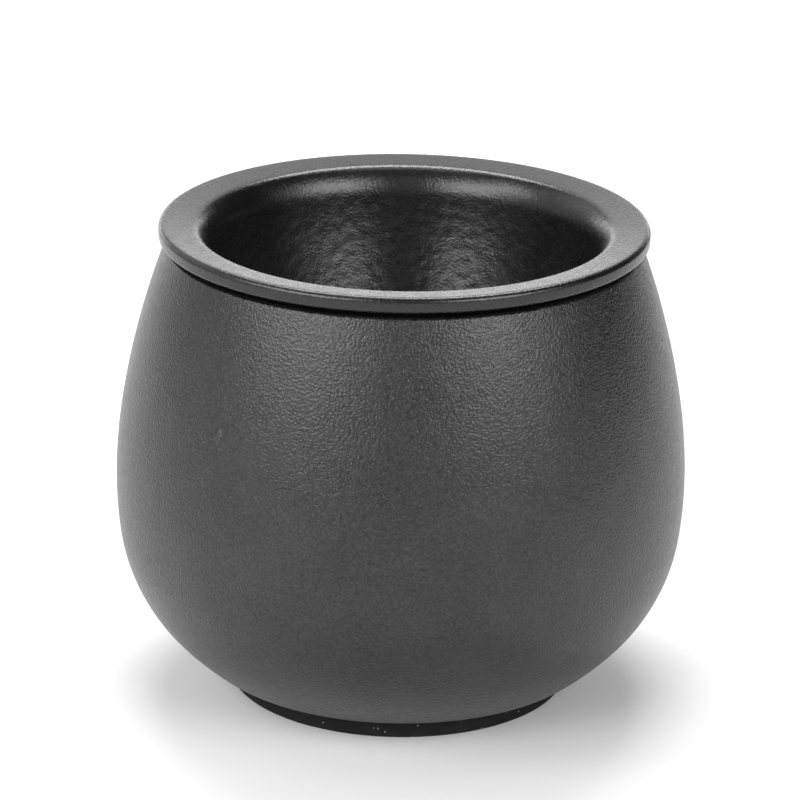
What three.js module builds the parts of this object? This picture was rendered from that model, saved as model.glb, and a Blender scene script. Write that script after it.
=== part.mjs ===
// Empty candle jar, in millimetres, +Z up, with the origin at the centre of its underside.
// A bulb-shaped metal shell stands on a rubber pad. A flanged metal cup drops into the
// shell's neck and hangs there by its flange, on a soft ring that seals and centres it.
// Every piece is a solid of revolution about Z.

import * as THREE from 'three';

// Overall size
const SEGMENTS = 64;            // flats around every round piece
const BELLY_RADIUS = 50;        // widest circle of the shell
const BELLY_Z = 37.6;           // its height above the underside
const RIM_TOP_Z = 84;           // top of the cup's flange

// Outer shell: tangent arcs run up to the neck and down to the heel from the widest circle.
// Each arc has a radius and the angle at which it hands over to the next one. The last arc
// of a side ends where the edge round that follows it meets the end of the shell.
const SHELL_WALL = 1.6;
const SHELL_TOP_Z = 80.1;
const SHELL_UNDERSIDE_Z = 4.3;
const SHOULDER_ARCS = [{ radius: 91, endAngle: 8.85 }, { radius: 140 }];
const HEEL_ARCS = [{ radius: 69, endAngle: 7.8 }, { radius: 32, endAngle: 42 }, { radius: 47 }];
const NECK_EDGE_RADIUS = 0.5;
const HEEL_EDGE_RADIUS = 3;
const POCKET_RADIUS = 30.4;     // shallow pressed pocket that locates the pad
const POCKET_CEILING_Z = 5;
const POCKET_DRAFT = 0.7;       // the sheet's inner face ramps over this width at the pocket

// Liner cup. From the top: a land that falls towards the axis, a lip round, a wider flare,
// a side that leans in more and more on one slow arc, a cone, a corner round and the floor.
const CUP_WALL = 1.6;
const FLANGE_RADIUS = 42.5;
const FLANGE_THICKNESS = 2.7;
const FLANGE_TOP_EDGE = 0.9;
const FLANGE_BOTTOM_EDGE = 0.7;
const LAND_SLOPE = 6.9;         // degrees
const LIP_RADIUS = 2.25;
const FLARE_RADIUS = 8;
const FLARE_ANGLE = 40;         // lean from the upright where the lip hands over to the flare
const THROAT_RADIUS = 33.65;    // where the flare hands over to the side
const THROAT_TAPER = 8;         // the side's lean from the upright at the throat, in degrees
const SIDE_RADIUS = 95;
const SIDE_TAPER = 18;          // the lean of the cone
const CORNER_RADIUS = 10;
const CUP_FLOOR_Z = 26;

// Neck seal: a web under the flange and a ribbed skirt inside the neck
const SEAL_OUTER_RADIUS = 40.2;
const SEAL_CUP_CLEARANCE = 0.25;
const SEAL_CHAMFER = 2.2;       // clears the flare under the flange
const SEAL_BORE_DRAFT = 8;      // degrees, along the cup's side
const SKIRT_RADIUS = 38.9;
const SKIRT_BOTTOM_Z = 73.6;
const SKIRT_LEAD_IN = 0.5;
const RIB_HEIGHT = 0.5;
const RIB_HALF_WIDTH = 0.6;
const RIB_Z = [78.4, 76.3, 74.9];

// Base pad and the adhesive disc that holds it in the pocket
const PAD_RADIUS = 29.9;
const PAD_EDGE_RADIUS = 0.5;
const ADHESIVE_RADIUS = 29;
const ADHESIVE_THICKNESS = 0.2;

// How finely arcs are divided
const ARC_STEP = 4;             // degrees, on the bulb's arcs
const EDGE_STEPS = 3;           // steps in a small edge round

const FLANGE_BOTTOM_Z = RIM_TOP_Z - FLANGE_THICKNESS;

const point = (r, z) => new THREE.Vector2(r, z);
const radians = THREE.MathUtils.degToRad;

// Points on an arc about (r, z), from one angle to another, both in degrees. Angle 0
// points away from the axis and angle 90 points up.
function arc(r, z, radius, fromAngle, toAngle, steps) {
  const points = [];
  for (let i = 0; i <= steps; i += 1) {
    const angle = radians(fromAngle + ((toAngle - fromAngle) * i) / steps);
    points.push(point(r + radius * Math.cos(angle), z + radius * Math.sin(angle)));
  }
  return points;
}

const arcSteps = (fromAngle, toAngle) => Math.max(1, Math.round((toAngle - fromAngle) / ARC_STEP));

// One side of the bulb as (radius, height above the widest circle), from the widest circle
// to the end at endHeight. inset moves the line inwards, for the inner face of the wall.
function bulbSide(arcs, edgeRadius, endHeight, inset) {
  const points = [];
  let centreR = BELLY_RADIUS - arcs[0].radius;
  let centreHeight = 0;
  let angle = 0;
  arcs.forEach(({ radius, endAngle }, index) => {
    const reach = (endHeight - edgeRadius - centreHeight) / (radius - inset - edgeRadius);
    const end = endAngle ?? THREE.MathUtils.radToDeg(Math.asin(reach));
    const steps = arcSteps(angle, end);
    points.push(...arc(centreR, centreHeight, radius - inset, angle, end, steps));
    const next = arcs[index + 1];
    const step = radius - (next ? next.radius : inset + edgeRadius);
    centreR += step * Math.cos(radians(end));
    centreHeight += step * Math.sin(radians(end));
    angle = end;
  });
  if (edgeRadius > 0) {
    points.push(...arc(centreR, centreHeight, edgeRadius, angle, 90, EDGE_STEPS));
  }
  return points;
}

const above = (side) => side.map(({ x, y }) => point(x, BELLY_Z + y));
const below = (side) => side.map(({ x, y }) => point(x, BELLY_Z - y)).reverse();

// Drops points that repeat the one before them.
function withoutRepeats(points) {
  return points.filter((p, i) => i === 0 || p.distanceTo(points[i - 1]) > 1e-6);
}

// Turns a profile of (radius, z) points, listed upwards along its outside, into a solid.
function revolve(points) {
  const geometry = new THREE.LatheGeometry(withoutRepeats(points), SEGMENTS);
  geometry.rotateX(Math.PI / 2);
  return geometry;
}

function outerShell() {
  const topHeight = SHELL_TOP_Z - BELLY_Z;
  const heelDepth = BELLY_Z - SHELL_UNDERSIDE_Z;
  const floorStep = POCKET_CEILING_Z - SHELL_UNDERSIDE_Z;
  const outsideUp = above(bulbSide(SHOULDER_ARCS, NECK_EDGE_RADIUS, topHeight, 0));
  const outsideDown = below(bulbSide(HEEL_ARCS, HEEL_EDGE_RADIUS, heelDepth, 0));
  const insideUp = above(bulbSide(SHOULDER_ARCS, 0, topHeight, SHELL_WALL));
  const insideHeelEdge = HEEL_EDGE_RADIUS - SHELL_WALL;
  const insideDown = below(
    bulbSide(HEEL_ARCS, insideHeelEdge, heelDepth - SHELL_WALL, SHELL_WALL));
  const rampRadius = POCKET_RADIUS + SHELL_WALL;
  const floorZ = SHELL_UNDERSIDE_Z + SHELL_WALL;
  return revolve([
    point(0, POCKET_CEILING_Z),
    point(POCKET_RADIUS, POCKET_CEILING_Z),
    point(POCKET_RADIUS, SHELL_UNDERSIDE_Z),
    ...outsideDown,
    ...outsideUp,
    ...insideUp.reverse(),
    ...insideDown.reverse(),
    point(rampRadius, floorZ),
    point(rampRadius - POCKET_DRAFT, floorZ + floorStep),
    point(0, floorZ + floorStep),
  ]);
}

const cosine = (degrees) => Math.cos(radians(degrees));
const sine = (degrees) => Math.sin(radians(degrees));
const tangent = (degrees) => Math.tan(radians(degrees));

// Centres of the rounds of the cup's rim. The land is the straight line that touches the
// flange's top edge and the lip.
function rimCentres() {
  const tilt = 90 + LAND_SLOPE;
  const step = FLARE_RADIUS - LIP_RADIUS;
  const edge = point(FLANGE_RADIUS - FLANGE_TOP_EDGE, RIM_TOP_Z - FLANGE_TOP_EDGE);
  const flareR = THROAT_RADIUS + FLARE_RADIUS * cosine(THROAT_TAPER);
  const lipR = flareR - step * cosine(FLARE_ANGLE);
  const lipZ = edge.y - (LIP_RADIUS - FLANGE_TOP_EDGE) / sine(tilt) + (edge.x - lipR) / tangent(tilt);
  return { edge, lip: point(lipR, lipZ), flare: point(flareR, lipZ - step * sine(FLARE_ANGLE)) };
}

// The cup below its flare, from the throat down to the edge of the floor. outset is the
// wall's thickness on the outer face.
function cupSide(outset) {
  const { flare } = rimCentres();
  const startZ = flare.y + FLARE_RADIUS * sine(THROAT_TAPER);
  const sideR = THROAT_RADIUS - SIDE_RADIUS * cosine(THROAT_TAPER);
  const sideZ = startZ + SIDE_RADIUS * sine(THROAT_TAPER);
  const coneR = sideR + SIDE_RADIUS * cosine(SIDE_TAPER);
  const coneZ = sideZ - SIDE_RADIUS * sine(SIDE_TAPER);
  const cornerZ = CUP_FLOOR_Z + CORNER_RADIUS;
  const coneDrop = coneZ - (cornerZ - CORNER_RADIUS * sine(SIDE_TAPER));
  const cornerR = coneR - coneDrop * tangent(SIDE_TAPER) - CORNER_RADIUS * cosine(SIDE_TAPER);
  const sideSteps = arcSteps(THROAT_TAPER, SIDE_TAPER);
  return [
    ...arc(sideR, sideZ, SIDE_RADIUS + outset, -THROAT_TAPER, -SIDE_TAPER, sideSteps),
    ...arc(cornerR, cornerZ, CORNER_RADIUS + outset, -SIDE_TAPER, -90, EDGE_STEPS * 2),
  ];
}

function linerCup() {
  const { edge, lip, flare } = rimCentres();
  const flareStart = 180 - FLARE_ANGLE;
  const flareEnd = 180 - THROAT_TAPER;
  const underRadius = FLARE_RADIUS - CUP_WALL;
  const underStart = 180 - THREE.MathUtils.radToDeg(Math.asin((FLANGE_BOTTOM_Z - flare.y) / underRadius));
  const outside = cupSide(CUP_WALL).reverse();
  const inside = cupSide(0);
  return revolve([
    point(0, outside[0].y),
    ...outside,
    ...arc(flare.x, flare.y, underRadius, flareEnd, underStart, EDGE_STEPS),
    ...arc(FLANGE_RADIUS - FLANGE_BOTTOM_EDGE, FLANGE_BOTTOM_Z + FLANGE_BOTTOM_EDGE,
      FLANGE_BOTTOM_EDGE, -90, 0, EDGE_STEPS),
    ...arc(edge.x, edge.y, FLANGE_TOP_EDGE, 0, 90 + LAND_SLOPE, EDGE_STEPS + 1),
    ...arc(lip.x, lip.y, LIP_RADIUS, 90 + LAND_SLOPE, flareStart, EDGE_STEPS + 1),
    ...arc(flare.x, flare.y, FLARE_RADIUS, flareStart, flareEnd, EDGE_STEPS + 1),
    ...inside,
    point(0, inside[inside.length - 1].y),
  ]);
}

function neckSeal() {
  const boreRadius = THROAT_RADIUS + CUP_WALL * cosine(THROAT_TAPER) + SEAL_CUP_CLEARANCE;
  const chamferZ = FLANGE_BOTTOM_Z - SEAL_CHAMFER;
  const boreNarrowing = (chamferZ - SKIRT_BOTTOM_Z) * tangent(SEAL_BORE_DRAFT);
  const ribs = [...RIB_Z].reverse().flatMap((z) => [
    point(SKIRT_RADIUS, z - RIB_HALF_WIDTH),
    point(SKIRT_RADIUS + RIB_HEIGHT, z),
    point(SKIRT_RADIUS, z + RIB_HALF_WIDTH),
  ]);
  const start = point(boreRadius - boreNarrowing, SKIRT_BOTTOM_Z);
  return revolve([
    start,
    point(SKIRT_RADIUS - SKIRT_LEAD_IN, SKIRT_BOTTOM_Z),
    ...ribs,
    point(SKIRT_RADIUS, SHELL_TOP_Z),
    point(SEAL_OUTER_RADIUS, SHELL_TOP_Z),
    point(SEAL_OUTER_RADIUS, FLANGE_BOTTOM_Z),
    point(boreRadius + SEAL_CHAMFER, FLANGE_BOTTOM_Z),
    point(boreRadius, chamferZ),
    start,
  ]);
}

function basePad() {
  const top = POCKET_CEILING_Z - ADHESIVE_THICKNESS;
  return revolve([
    point(0, 0),
    ...arc(PAD_RADIUS - PAD_EDGE_RADIUS, PAD_EDGE_RADIUS, PAD_EDGE_RADIUS, -90, 0, EDGE_STEPS),
    point(PAD_RADIUS, top),
    point(0, top),
  ]);
}

function padAdhesive() {
  const bottom = POCKET_CEILING_Z - ADHESIVE_THICKNESS;
  return revolve([
    point(0, bottom),
    point(ADHESIVE_RADIUS, bottom),
    point(ADHESIVE_RADIUS, POCKET_CEILING_Z),
    point(0, POCKET_CEILING_Z),
  ]);
}

function piece(name, geometry, material) {
  const mesh = new THREE.Mesh(geometry, material);
  mesh.name = name;
  return mesh;
}

const powderCoat = new THREE.MeshStandardMaterial({ color: 0x2f2f31, roughness: 0.5, metalness: 0.2 });
const cupCoat = new THREE.MeshStandardMaterial({ color: 0x2c2c2e, roughness: 0.45, metalness: 0.2 });
const sealRubber = new THREE.MeshStandardMaterial({ color: 0x0c0c0d, roughness: 0.85, metalness: 0 });
const padRubber = new THREE.MeshStandardMaterial({ color: 0x191919, roughness: 0.95, metalness: 0 });
const adhesive = new THREE.MeshStandardMaterial({ color: 0xd8d4c4, roughness: 0.6, metalness: 0 });

const jar = new THREE.Group();
jar.add(piece('outer_shell', outerShell(), powderCoat));
jar.add(piece('liner_cup', linerCup(), cupCoat));
jar.add(piece('neck_seal', neckSeal(), sealRubber));
jar.add(piece('base_pad', basePad(), padRubber));
jar.add(piece('pad_adhesive', padAdhesive(), adhesive));

export default jar;
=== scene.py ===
"""Empty candle jar: fine surfaces of revolution and coated-metal and rubber materials
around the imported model. Lengths are in metres, +Z up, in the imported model's frame."""
import math

import bpy
from mathutils import Matrix, Vector, noise


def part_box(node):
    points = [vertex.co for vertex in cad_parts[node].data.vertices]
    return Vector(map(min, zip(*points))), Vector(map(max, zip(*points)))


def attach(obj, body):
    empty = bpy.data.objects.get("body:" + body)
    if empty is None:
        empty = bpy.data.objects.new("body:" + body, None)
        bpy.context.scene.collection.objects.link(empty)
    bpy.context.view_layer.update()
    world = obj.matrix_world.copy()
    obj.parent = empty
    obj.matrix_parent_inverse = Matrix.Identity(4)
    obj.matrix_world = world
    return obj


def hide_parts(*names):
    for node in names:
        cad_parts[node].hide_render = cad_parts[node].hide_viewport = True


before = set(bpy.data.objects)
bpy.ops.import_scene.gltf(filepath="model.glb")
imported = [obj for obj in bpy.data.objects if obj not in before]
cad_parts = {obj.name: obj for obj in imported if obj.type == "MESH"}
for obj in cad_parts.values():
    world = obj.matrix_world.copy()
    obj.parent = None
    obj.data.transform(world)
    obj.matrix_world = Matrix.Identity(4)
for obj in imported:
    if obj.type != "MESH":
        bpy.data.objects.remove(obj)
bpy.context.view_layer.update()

MM = 0.001

# ---------------------------------------------------------------- sizes from the frame
shell_low, shell_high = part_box("outer_shell")
cup_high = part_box("liner_cup")[1]
seal_low, seal_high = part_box("neck_seal")
pad_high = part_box("base_pad")[1]
film_low, film_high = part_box("pad_adhesive")

BELLY_RADIUS = shell_high.x
BELLY_Z = 37.6 * MM
RIM_TOP_Z = cup_high.z
FLANGE_RADIUS = cup_high.x
FLANGE_BOTTOM_Z = seal_high.z

WALL = 1.6 * MM

# Shell: tangent arcs from the widest circle, as radius and hand-over angle in degrees
SHOULDER_ARCS = ((91 * MM, 8.85), (140 * MM, None))
HEEL_ARCS = ((69 * MM, 7.8), (32 * MM, 42), (47 * MM, None))
NECK_EDGE_RADIUS = 0.5 * MM
HEEL_EDGE_RADIUS = 3 * MM
POCKET_RADIUS = 30.4 * MM
POCKET_CEILING_Z = film_high.z
POCKET_DRAFT = 0.7 * MM

# Cup. Angles are in degrees, and tapers are leans from the upright.
THROAT_RADIUS = 33.65 * MM
THROAT_TAPER = 8
FLANGE_TOP_EDGE = 0.9 * MM
FLANGE_BOTTOM_EDGE = 0.7 * MM
LAND_SLOPE = 6.9
LIP_RADIUS = 2.25 * MM
FLARE_RADIUS = 8 * MM
FLARE_ANGLE = 40
SIDE_RADIUS = 95 * MM
SIDE_TAPER = 18
BOWL_FLOOR_Z = 26 * MM
CORNER_RADIUS = 10 * MM

# Seal
SEAL_CUP_CLEARANCE = 0.25 * MM
SEAL_BORE = THROAT_RADIUS + WALL * math.cos(math.radians(THROAT_TAPER)) + SEAL_CUP_CLEARANCE
SEAL_CHAMFER = 2.2 * MM
SEAL_BORE_DRAFT = 8
SKIRT_RADIUS = 38.9 * MM
SKIRT_LEAD_IN = 0.5 * MM
RIB_HEIGHT = 0.5 * MM
RIB_HALF_WIDTH = 0.6 * MM
RIB_Z = (78.4 * MM, 76.3 * MM, 74.9 * MM)
SEAL_EDGE = 0.18 * MM

PAD_EDGE_RADIUS = 0.5 * MM

# Faces around each revolved piece
SHELL_SEGMENTS = 320
CUP_SEGMENTS = 400
RUBBER_SEGMENTS = 256
FILM_SEGMENTS = 192


# ---------------------------------------------------------------- profiles
def arc(r, z, radius, start, end, step=1.5):
    """Points on an arc about (r, z). Angle 0 points away from the axis, 90 up."""
    count = max(4, round(abs(end - start) / step))
    points = []
    for i in range(count + 1):
        angle = math.radians(start + (end - start) * i / count)
        points.append((r + radius * math.cos(angle), z + radius * math.sin(angle)))
    return points


def line(start, end, step):
    """Points along a straight stretch, so that its faces stay close to square."""
    count = max(1, round(math.dist(start, end) / step))
    return [
        (start[0] + (end[0] - start[0]) * i / count, start[1] + (end[1] - start[1]) * i / count)
        for i in range(count + 1)
    ]


def bulb_side(arcs, edge_radius, end_height, inset, step):
    """One side of the bulb as (radius, height above the widest circle). The last arc ends
    where the edge round that follows it meets the end of the shell. inset is the wall
    thickness for the inner face and step the length of a face."""
    points = []
    centre_r = BELLY_RADIUS - arcs[0][0]
    centre_h = 0.0
    angle = 0.0
    for index, (radius, end) in enumerate(arcs):
        if end is None:
            reach = (end_height - edge_radius - centre_h) / (radius - inset - edge_radius)
            end = math.degrees(math.asin(reach))
        span = step / radius * 180 / math.pi
        points += arc(centre_r, centre_h, radius - inset, angle, end, span)
        following = arcs[index + 1][0] if index + 1 < len(arcs) else inset + edge_radius
        centre_r += (radius - following) * math.cos(math.radians(end))
        centre_h += (radius - following) * math.sin(math.radians(end))
        angle = end
    if edge_radius > 0:
        points += arc(centre_r, centre_h, edge_radius, angle, 90, 8)
    return points


def tidy_profile(points):
    """Drops points that repeat the one before them."""
    kept = [points[0]]
    for p in points[1:]:
        if math.dist(p, kept[-1]) > 1e-7:
            kept.append(p)
    return kept


def shell_profile():
    top = shell_high.z - BELLY_Z
    heel = BELLY_Z - shell_low.z
    floor_z = shell_low.z + WALL
    raised_floor_z = floor_z + POCKET_CEILING_Z - shell_low.z
    fine = 1.0 * MM
    coarse = 2 * fine
    outer_top = bulb_side(SHOULDER_ARCS, NECK_EDGE_RADIUS, top, 0, fine)
    outer_heel = bulb_side(HEEL_ARCS, HEEL_EDGE_RADIUS, heel, 0, fine)
    inner_top = bulb_side(SHOULDER_ARCS, 0, top, WALL, coarse)
    inner_heel = bulb_side(HEEL_ARCS, HEEL_EDGE_RADIUS - WALL, heel - WALL, WALL, coarse)
    ramp = POCKET_RADIUS + WALL
    return tidy_profile([
        *line((0, POCKET_CEILING_Z), (POCKET_RADIUS, POCKET_CEILING_Z), 4 * fine),
        (POCKET_RADIUS, shell_low.z),
        *[(r, BELLY_Z - h) for r, h in outer_heel[::-1]],
        *[(r, BELLY_Z + h) for r, h in outer_top],
        *[(r, BELLY_Z + h) for r, h in inner_top[::-1]],
        *[(r, BELLY_Z - h) for r, h in inner_heel],
        (ramp, floor_z),
        *line((ramp - POCKET_DRAFT, raised_floor_z), (0, raised_floor_z), 4 * fine),
    ])


def rim_centres():
    """Centres of the rim's rounds as (radius, z): outer top edge, lip and flare. The land
    is the straight line that touches the first two."""
    tilt = math.radians(90 + LAND_SLOPE)
    turn = math.radians(180 - FLARE_ANGLE)
    edge_r = FLANGE_RADIUS - FLANGE_TOP_EDGE
    edge_z = RIM_TOP_Z - FLANGE_TOP_EDGE
    flare_r = THROAT_RADIUS + FLARE_RADIUS * math.cos(math.radians(THROAT_TAPER))
    lip_r = flare_r + (FLARE_RADIUS - LIP_RADIUS) * math.cos(turn)
    lip_z = (edge_z - (LIP_RADIUS - FLANGE_TOP_EDGE) / math.sin(tilt)
             + (edge_r - lip_r) / math.tan(tilt))
    flare_z = lip_z - (FLARE_RADIUS - LIP_RADIUS) * math.sin(turn)
    return (edge_r, edge_z), (lip_r, lip_z), (flare_r, flare_z)


def rim(inset, step):
    """The top of the cup, from the flange's outer top edge to the end of the flare. With an
    inset it is only the flare's far side, which the wall's outer face follows."""
    edge, lip, flare = rim_centres()
    turn = 180 - FLARE_ANGLE
    end = 180 - THROAT_TAPER
    if inset:
        return arc(*flare, FLARE_RADIUS - inset, turn, end, step)
    edge_arc = arc(*edge, FLANGE_TOP_EDGE, 0, 90 + LAND_SLOPE, 9)
    lip_arc = arc(*lip, LIP_RADIUS, 90 + LAND_SLOPE, turn, 6)
    land = line(edge_arc[-1], lip_arc[0], 1.1 * MM)
    return [*edge_arc, *land, *lip_arc, *arc(*flare, FLARE_RADIUS, turn, end, 4)]


def bowl(outset, step):
    """The cup below the flare, down to the edge of its flat floor: a slow arc, a cone and
    the corner round. outset is the wall thickness for the outer face."""
    flare_r, flare_z = rim_centres()[2]
    top, low = math.radians(THROAT_TAPER), math.radians(SIDE_TAPER)
    start_z = flare_z + FLARE_RADIUS * math.sin(top)
    side = arc(THROAT_RADIUS - SIDE_RADIUS * math.cos(top), start_z + SIDE_RADIUS * math.sin(top),
               SIDE_RADIUS + outset, -THROAT_TAPER, -SIDE_TAPER, math.degrees(step / SIDE_RADIUS))
    cone_r = THROAT_RADIUS - SIDE_RADIUS * (math.cos(top) - math.cos(low))
    cone_z = start_z - SIDE_RADIUS * (math.sin(low) - math.sin(top))
    corner_z = BOWL_FLOOR_Z + CORNER_RADIUS
    corner_r = (cone_r - CORNER_RADIUS * math.cos(low)
                - (cone_z - corner_z + CORNER_RADIUS * math.sin(low)) * math.tan(low))
    corner = arc(corner_r, corner_z, CORNER_RADIUS + outset, -SIDE_TAPER, -90,
                 math.degrees(step / CORNER_RADIUS))
    return [*side, *line(side[-1], corner[0], step), *corner]


def cup_profile():
    fine = 0.5 * MM
    outside = bowl(WALL, 3 * fine)[::-1]
    inside = bowl(0, fine)
    flare_r, flare_z = rim_centres()[2]
    outer_flare = [p for p in rim(WALL, 5)[::-1] if p[1] < FLANGE_BOTTOM_Z]
    reach = math.sqrt((FLARE_RADIUS - WALL) ** 2 - (FLANGE_BOTTOM_Z - flare_z) ** 2)
    return tidy_profile([
        (0, outside[0][1]),
        *outside,
        *outer_flare,
        (flare_r - reach, FLANGE_BOTTOM_Z),
        *arc(FLANGE_RADIUS - FLANGE_BOTTOM_EDGE, FLANGE_BOTTOM_Z + FLANGE_BOTTOM_EDGE,
             FLANGE_BOTTOM_EDGE, -90, 0, 11),
        *rim(0, 4),
        *inside,
        *line(inside[-1], (0, inside[-1][1]), fine),
    ])


def seal_profile():
    ribs = []
    for z in sorted(RIB_Z):
        for i in range(9):
            share = i / 8 * 2 - 1
            bump = RIB_HEIGHT * math.cos(share * math.pi / 2)
            ribs.append((SKIRT_RADIUS + bump, z + share * RIB_HALF_WIDTH))
    outer = seal_high.x
    web_bottom = shell_high.z
    chamfer_z = seal_high.z - SEAL_CHAMFER
    narrowing = (chamfer_z - seal_low.z) * math.tan(math.radians(SEAL_BORE_DRAFT))
    return tidy_profile([
        (SEAL_BORE - narrowing, seal_low.z),
        (SKIRT_RADIUS - SKIRT_LEAD_IN, seal_low.z),
        *ribs,
        (SKIRT_RADIUS, web_bottom),
        (outer - SEAL_EDGE, web_bottom),
        *arc(outer - SEAL_EDGE, web_bottom + SEAL_EDGE, SEAL_EDGE, -90, 0, 22.5),
        *arc(outer - SEAL_EDGE, seal_high.z - SEAL_EDGE, SEAL_EDGE, 0, 90, 22.5),
        (SEAL_BORE + SEAL_CHAMFER, seal_high.z),
        (SEAL_BORE, chamfer_z),
    ])


def pad_profile():
    radius = pad_high.x
    return tidy_profile([
        *line((0, 0), (radius - PAD_EDGE_RADIUS, 0), 3 * MM),
        *arc(radius - PAD_EDGE_RADIUS, PAD_EDGE_RADIUS, PAD_EDGE_RADIUS, -90, 0, 10),
        *line((radius, PAD_EDGE_RADIUS), (radius, pad_high.z), 1 * MM),
        *line((radius, pad_high.z), (0, pad_high.z), 3 * MM),
    ])


def film_profile():
    radius = film_high.x
    return tidy_profile([
        *line((0, film_low.z), (radius, film_low.z), 5 * MM),
        *line((radius, film_high.z), (0, film_high.z), 5 * MM),
    ])


# ---------------------------------------------------------------- meshes
def revolve(name, profile, segments, closed=False, relief=None):
    """A solid of revolution about Z. relief(point, normal) moves each surface point along
    its normal. An open profile starts and ends on the axis."""
    verts = []
    rings = []
    count = len(profile)
    for i, (r, z) in enumerate(profile):
        if r < 1e-9:
            rings.append([len(verts)])
            verts.append(Vector((0, 0, z)))
            continue
        before = profile[(i - 1) % count] if closed else profile[max(i - 1, 0)]
        after = profile[(i + 1) % count] if closed else profile[min(i + 1, count - 1)]
        outward = Vector((after[1] - before[1], before[0] - after[0])).normalized()
        ring = []
        for s in range(segments):
            angle = 2 * math.pi * s / segments
            across = Vector((math.cos(angle), math.sin(angle), 0))
            point = across * r + Vector((0, 0, z))
            if relief:
                normal = across * outward.x + Vector((0, 0, outward.y))
                point += normal * relief(point, normal)
            ring.append(len(verts))
            verts.append(point)
        rings.append(ring)
    faces = []
    pairs = list(zip(rings, rings[1:]))
    if closed:
        pairs.append((rings[-1], rings[0]))
    for low, high in pairs:
        for s in range(segments):
            t = (s + 1) % segments
            if len(low) == 1:
                faces.append((low[0], high[t], high[s]))
            elif len(high) == 1:
                faces.append((low[s], low[t], high[0]))
            else:
                faces.append((low[s], low[t], high[t], high[s]))
    mesh = bpy.data.meshes.new(name)
    mesh.from_pydata(verts, [], faces)
    mesh.validate()
    mesh.shade_smooth()
    mesh.set_sharp_from_angle(angle=math.radians(40))
    piece = bpy.data.objects.new(name, mesh)
    bpy.context.scene.collection.objects.link(piece)
    return piece


PEEL_PITCH = 1.25 * MM
PEEL_HEIGHT = 0.05 * MM
PEEL_TOP_Z = RIM_TOP_Z - 3 * MM
PEEL_FADE = 5 * MM


def cup_relief(point, normal):
    """Thick orange peel of the coating inside the cup, fading out below the lip."""
    radius = math.hypot(point.x, point.y)
    faces_in = normal.x * point.x + normal.y * point.y < 1e-9 and normal.z > -1e-3
    if not faces_in or radius > THROAT_RADIUS + FLARE_RADIUS / 2:
        return 0.0
    fade = min(max((PEEL_TOP_Z - point.z) / PEEL_FADE, 0), 1)
    spot = point / PEEL_PITCH
    peel = noise.noise(spot) + 0.45 * noise.noise(spot * 2.1 + Vector((7, 3, 5)))
    return PEEL_HEIGHT * peel * fade


# ---------------------------------------------------------------- materials
def maths_node(tree, operation, a, b):
    """The result of a maths node whose two inputs are numbers or links."""
    node = tree.nodes.new("ShaderNodeMath")
    node.operation = operation
    for slot, value in zip(node.inputs, (a, b)):
        if isinstance(value, (int, float)):
            slot.default_value = value
        else:
            tree.links.new(value, slot)
    return node.outputs[0]


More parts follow.
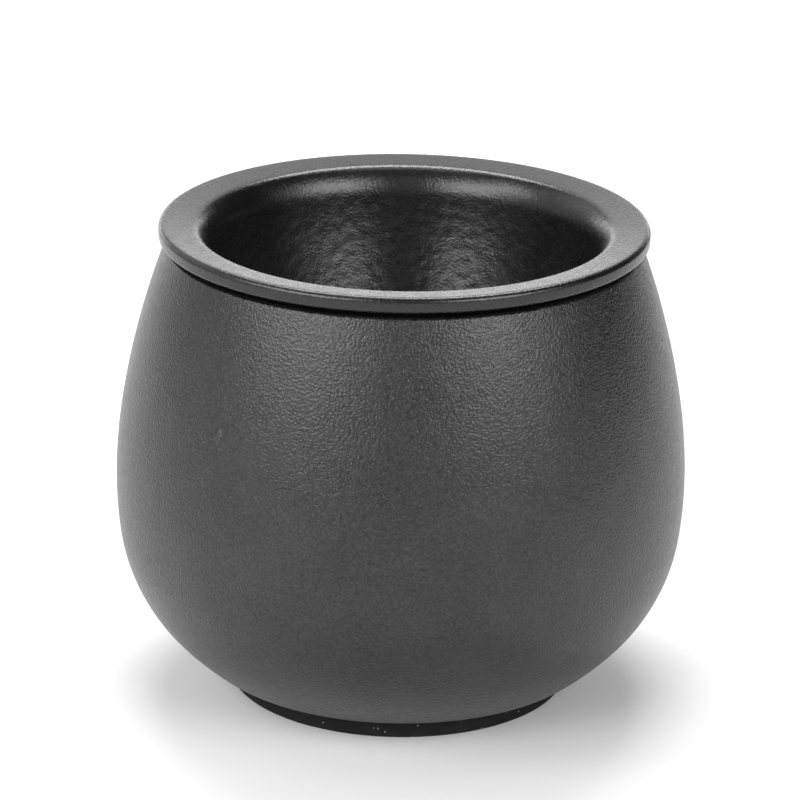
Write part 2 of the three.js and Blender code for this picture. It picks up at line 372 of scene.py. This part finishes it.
class Nodes:
    """A material's node tree, with short ways to add and link nodes."""

    def __init__(self, name):
        self.material = bpy.data.materials.new(name)
        self.material.use_nodes = True
        self.tree = self.material.node_tree
        self.shader = self.tree.nodes["Principled BSDF"]
        self.place = self.add("ShaderNodeTexCoord").outputs["Object"]

    def add(self, kind, **settings):
        node = self.tree.nodes.new(kind)
        for key, value in settings.items():
            setattr(node, key, value)
        return node

    def link(self, source, target):
        self.tree.links.new(source, target)

    def noise(self, pitch, detail=2.0, roughness=0.5):
        node = self.add("ShaderNodeTexNoise")
        node.inputs["Scale"].default_value = 1 / pitch
        node.inputs["Detail"].default_value = detail
        node.inputs["Roughness"].default_value = roughness
        self.link(self.place, node.inputs["Vector"])
        return node.outputs["Fac"]

    def fit(self, value, low, high, new_low, new_high):
        node = self.add("ShaderNodeMapRange")
        node.clamp = True
        for key, number in zip(("From Min", "From Max", "To Min", "To Max"),
                               (low, high, new_low, new_high)):
            node.inputs[key].default_value = number
        self.link(value, node.inputs["Value"])
        return node.outputs["Result"]

    def maths(self, operation, a, b):
        return maths_node(self.tree, operation, a, b)

    def mix(self, factor, first, second):
        node = self.add("ShaderNodeMix", data_type="RGBA")
        self.link(factor, node.inputs["Factor"])
        for key, value in (("A", first), ("B", second)):
            slot = [s for s in node.inputs if s.name == key and s.type == "RGBA"][0]
            if isinstance(value, tuple):
                slot.default_value = (*value, 1)
            else:
                self.link(value, slot)
        return [s for s in node.outputs if s.type == "RGBA"][0]

    def bump(self, height, distance, strength=1.0, after=None):
        node = self.add("ShaderNodeBump")
        node.inputs["Distance"].default_value = distance
        node.inputs["Strength"].default_value = strength
        self.link(height, node.inputs["Height"])
        if after:
            self.link(after, node.inputs["Normal"])
        return node.outputs["Normal"]

    def specks(self, pitch, radius, share):
        """Sparse dots: 1 inside a dot and 0 elsewhere. share is how many cells hold one."""
        node = self.add("ShaderNodeTexVoronoi", feature="F1")
        node.inputs["Scale"].default_value = 1 / pitch
        self.link(self.place, node.inputs["Vector"])
        dot = self.fit(node.outputs["Distance"], radius / pitch * 0.5, radius / pitch, 1, 0)
        split = self.add("ShaderNodeSeparateColor")
        self.link(node.outputs["Color"], split.inputs["Color"])
        chosen = self.maths("LESS_THAN", split.outputs["Red"], share)
        return self.maths("MULTIPLY", dot, chosen)

    def mound(self, centre, half_size):
        """One dome: 1 at its centre, falling to 0 at half_size along each axis."""
        shift = self.add("ShaderNodeVectorMath", operation="SUBTRACT")
        self.link(self.place, shift.inputs[0])
        shift.inputs[1].default_value = centre
        scale = self.add("ShaderNodeVectorMath", operation="DIVIDE")
        self.link(shift.outputs[0], scale.inputs[0])
        scale.inputs[1].default_value = half_size
        length = self.add("ShaderNodeVectorMath", operation="LENGTH")
        self.link(scale.outputs[0], length.inputs[0])
        return self.fit(self.maths("POWER", length.outputs["Value"], 2.0), 0, 1, 1, 0)

    def set(self, **values):
        for key, value in values.items():
            slot = self.shader.inputs[key.replace("_", " ")]
            if isinstance(value, (int, float)):
                slot.default_value = value
            else:
                self.link(value, slot)


# The one blister in the shell's coat, on its front left
BLISTER_POINT = (-30.5 * MM, -36.9 * MM, 57.6 * MM)
BLISTER_SIZE = (0.95 * MM, 0.95 * MM, 1.3 * MM)
BLISTER_HEIGHT = 0.3 * MM


def powder_coat(name, dark, light, roughness, peel_height, grain_height, blister):
    """Black powder coat: uneven tone, orange peel, fine grain and a few dust specks.
    The pits of the grain are rougher than its crests, and painted darker: painted shade of the
    grain's relief."""
    n = Nodes(name)
    grain = n.fit(n.noise(0.41 * MM, 1.0), 0.3, 0.7, 0, 1)
    cloud = n.fit(n.noise(9 * MM, 3), 0.3, 0.7, -0.15, 0.15)
    # Colour: an uneven tone at random, plus painted shade that follows the grain, darker in its
    # pits and lighter on its crests.
    pigment_and_pit_shade = n.mix(n.maths("ADD", grain, cloud), dark, light)
    dust = n.specks(4.2 * MM, 0.11 * MM, 0.16)
    colour = n.mix(dust, pigment_and_pit_shade, (0.35, 0.35, 0.34))
    patches = n.fit(n.noise(1.6 * MM, 3), 0.3, 0.7, roughness - 0.01, roughness + 0.05)
    gloss = n.maths("SUBTRACT", patches, n.maths("MULTIPLY", grain, 0.06))
    relief = n.bump(n.noise(0.9 * MM, 1.5, 0.55), peel_height)
    if blister:
        relief = n.bump(n.mound(BLISTER_POINT, BLISTER_SIZE), BLISTER_HEIGHT, after=relief)
    relief = n.bump(grain, grain_height, after=relief)
    n.link(colour, n.shader.inputs["Base Color"])
    n.set(Roughness=gloss, Normal=relief, IOR=1.5)
    return n.material


def rubber(name, dark, light, roughness, specular, grain_pitch, grain_height, dusty):
    """Matte moulded rubber with a fine grain, and dust where it shows."""
    n = Nodes(name)
    cloud = n.fit(n.noise(5 * MM, 3), 0.3, 0.7, 0, 1)
    colour = n.mix(cloud, dark, light)
    if dusty:
        colour = n.mix(n.specks(1.1 * MM, 0.2 * MM, 0.4), colour, (0.22, 0.22, 0.22))
    gloss = n.fit(n.noise(1.2 * MM, 2), 0.3, 0.7, roughness - 0.06, roughness)
    n.link(colour, n.shader.inputs["Base Color"])
    n.set(Roughness=gloss, Normal=n.bump(n.noise(grain_pitch, 2), grain_height), IOR=1.45)
    n.shader.inputs["Specular IOR Level"].default_value = specular
    return n.material


def film_material():
    """Pressure-sensitive film with faint streaks of trapped air."""
    n = Nodes("adhesive_film")
    streak = n.fit(n.noise(3 * MM, 4), 0.35, 0.65, 0, 1)
    n.link(n.mix(streak, (0.62, 0.58, 0.48), (0.72, 0.69, 0.6)), n.shader.inputs["Base Color"])
    gloss = n.fit(n.noise(1 * MM, 2), 0.3, 0.7, 0.45, 0.65)
    n.set(Roughness=gloss, Normal=n.bump(n.noise(0.8 * MM, 2), 0.01 * MM), IOR=1.47)
    return n.material


# ---------------------------------------------------------------- pieces
def place(piece, material, body, node):
    piece.data.materials.append(material)
    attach(piece, body)
    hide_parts(node)


def build_jar():
    shell_coat = powder_coat("shell_powder_coat", (0.0015, 0.0015, 0.0016), (0.021, 0.021, 0.0213),
                             0.35, 0.026 * MM, 0.06 * MM, True)
    # The cup's pigment is about a third as light as the shell's: painted shade, standing in for
    # the shade inside the cup.
    cup_coat_painted_shade = powder_coat("cup_powder_coat_painted_shade", (0.0015, 0.0015, 0.0016), (0.007, 0.007, 0.0072),
                           0.29, 0.025 * MM, 0.018 * MM, False)
    # The seal's near-black colour, several times darker than the foot pad's rubber, is painted
    # shade standing in for the shade in the gap under the flange.
    seal_rubber_painted_shade = rubber("seal_silicone_painted_shade", (0.0012, 0.0012, 0.0012), (0.0025, 0.0025, 0.0025),
                         0.85, 0.06, 0.4 * MM, 0.006 * MM, False)
    pad_rubber = rubber("pad_rubber", (0.012, 0.012, 0.012), (0.018, 0.018, 0.018),
                        0.98, 0.15, 0.35 * MM, 0.02 * MM, True)
    shell = revolve("shell_body", shell_profile(), SHELL_SEGMENTS)
    place(shell, shell_coat, "shell", "outer_shell")
    cup = revolve("cup_body", cup_profile(), CUP_SEGMENTS, relief=cup_relief)
    place(cup, cup_coat_painted_shade, "cup", "liner_cup")
    seal = revolve("seal_ring", seal_profile(), RUBBER_SEGMENTS, closed=True)
    place(seal, seal_rubber_painted_shade, "seal", "neck_seal")
    pad = revolve("foot_pad", pad_profile(), RUBBER_SEGMENTS)
    place(pad, pad_rubber, "shell", "base_pad")
    film = revolve("adhesive_disc", film_profile(), FILM_SEGMENTS)
    place(film, film_material(), "shell", "pad_adhesive")


# ---------------------------------------------------------------- stage, lights, camera
def add_floor():
    reach = 12.0
    mesh = bpy.data.meshes.new("floor")
    corners = [(-reach, -reach, 0), (reach, -reach, 0), (reach, reach, 0), (-reach, reach, 0)]
    mesh.from_pydata(corners, [], [(0, 1, 2, 3)])
    floor = bpy.data.objects.new("floor", mesh)
    bpy.context.scene.collection.objects.link(floor)
    n = Nodes("floor_paint")
    mottle = n.fit(n.noise(60 * MM, 2), 0.3, 0.7, 0, 1)
    n.link(n.mix(mottle, (0.79, 0.79, 0.79), (0.81, 0.81, 0.81)), n.shader.inputs["Base Color"])
    n.shader.inputs["Roughness"].default_value = 0.9
    n.shader.inputs["Specular IOR Level"].default_value = 0.2
    mesh.materials.append(n.material)


LIGHT_TARGET = Vector((0, 0, 0.045))
LIGHT_DISTANCE = 1.0


def add_softbox(name, azimuth, elevation, width, height, power):
    """A soft area light aimed at the jar. Azimuth 0 is the camera's side, 90 is +X."""
    data = bpy.data.lights.new(name, "AREA")
    data.shape = "RECTANGLE"
    data.size = width
    data.size_y = height
    data.energy = power
    lamp = bpy.data.objects.new(name, data)
    bpy.context.scene.collection.objects.link(lamp)
    a, e = math.radians(azimuth), math.radians(elevation)
    away = Vector((math.sin(a) * math.cos(e), -math.cos(a) * math.cos(e), math.sin(e)))
    lamp.matrix_world = Matrix.Translation(LIGHT_TARGET + away * LIGHT_DISTANCE) @ (
        away.to_track_quat("Z", "Y").to_matrix().to_4x4())
    lamp.visible_camera = False


def add_world(**lobes):
    """A white studio. Each lobe is the brightness of one side of the room, named by its
    axis, and it falls off with the square of the direction's part along that axis."""
    world = bpy.data.worlds.new("studio")
    world.use_nodes = True
    bpy.context.scene.world = world
    tree = world.node_tree
    backdrop = tree.nodes["Background"]
    direction = tree.nodes.new("ShaderNodeTexCoord")
    split = tree.nodes.new("ShaderNodeSeparateXYZ")
    tree.links.new(direction.outputs["Generated"], split.inputs["Vector"])

    total = 0.0
    for name, brightness in lobes.items():
        sign = -1.0 if name.startswith("minus") else 1.0
        along = maths_node(tree, "MULTIPLY", split.outputs[name[-1].upper()], sign)
        lobe = maths_node(tree, "POWER", maths_node(tree, "MAXIMUM", along, 0.0), 2.0)
        total = maths_node(tree, "ADD", total, maths_node(tree, "MULTIPLY", lobe, brightness))
    tree.links.new(total, backdrop.inputs["Strength"])
    backdrop.inputs["Color"].default_value = (1, 1, 1, 1)


def add_camera():
    distance = 0.7227
    elevation = math.radians(19.71)
    target = Vector((0, 0, 0.05129))
    roll = math.radians(0.91)
    away = Vector((0, -math.cos(elevation), math.sin(elevation)))
    data = bpy.data.cameras.new("camera")
    data.sensor_width = 36
    data.lens = 185.5
    data.shift_x = -0.0023
    data.clip_start = 0.01
    data.clip_end = 60
    camera = bpy.data.objects.new("camera", data)
    bpy.context.scene.collection.objects.link(camera)
    turn = away.to_track_quat("Z", "Y").to_matrix().to_4x4() @ Matrix.Rotation(roll, 4, "Z")
    camera.matrix_world = Matrix.Translation(target + away * distance) @ turn
    bpy.context.scene.camera = camera


build_jar()
add_floor()
add_world(minus_x=0.85, minus_y=0.4, plus_y=0.17)
add_softbox("left_front", -41, 28, 0.6, 0.5, 6.5)
add_softbox("right_front", 43, 28, 0.66, 0.5, 6.8)
add_softbox("left_side", -72, 35, 0.3, 0.42, 2.2)
add_softbox("right_side", 72, 25, 0.3, 0.42, 0.5)
add_softbox("back_left", -130, 30, 0.7, 0.4, 0.7)
add_softbox("back_low", -172, 7, 1.4, 0.22, 2.7)
add_softbox("back_middle", 180, 27, 0.7, 0.4, 1.0)
add_softbox("back_high", 180, 60, 0.7, 0.3, 9.0)
add_softbox("top", 180, 85, 0.7, 0.7, 2.2)
add_camera()
bpy.context.scene.view_settings.view_transform = "Standard"
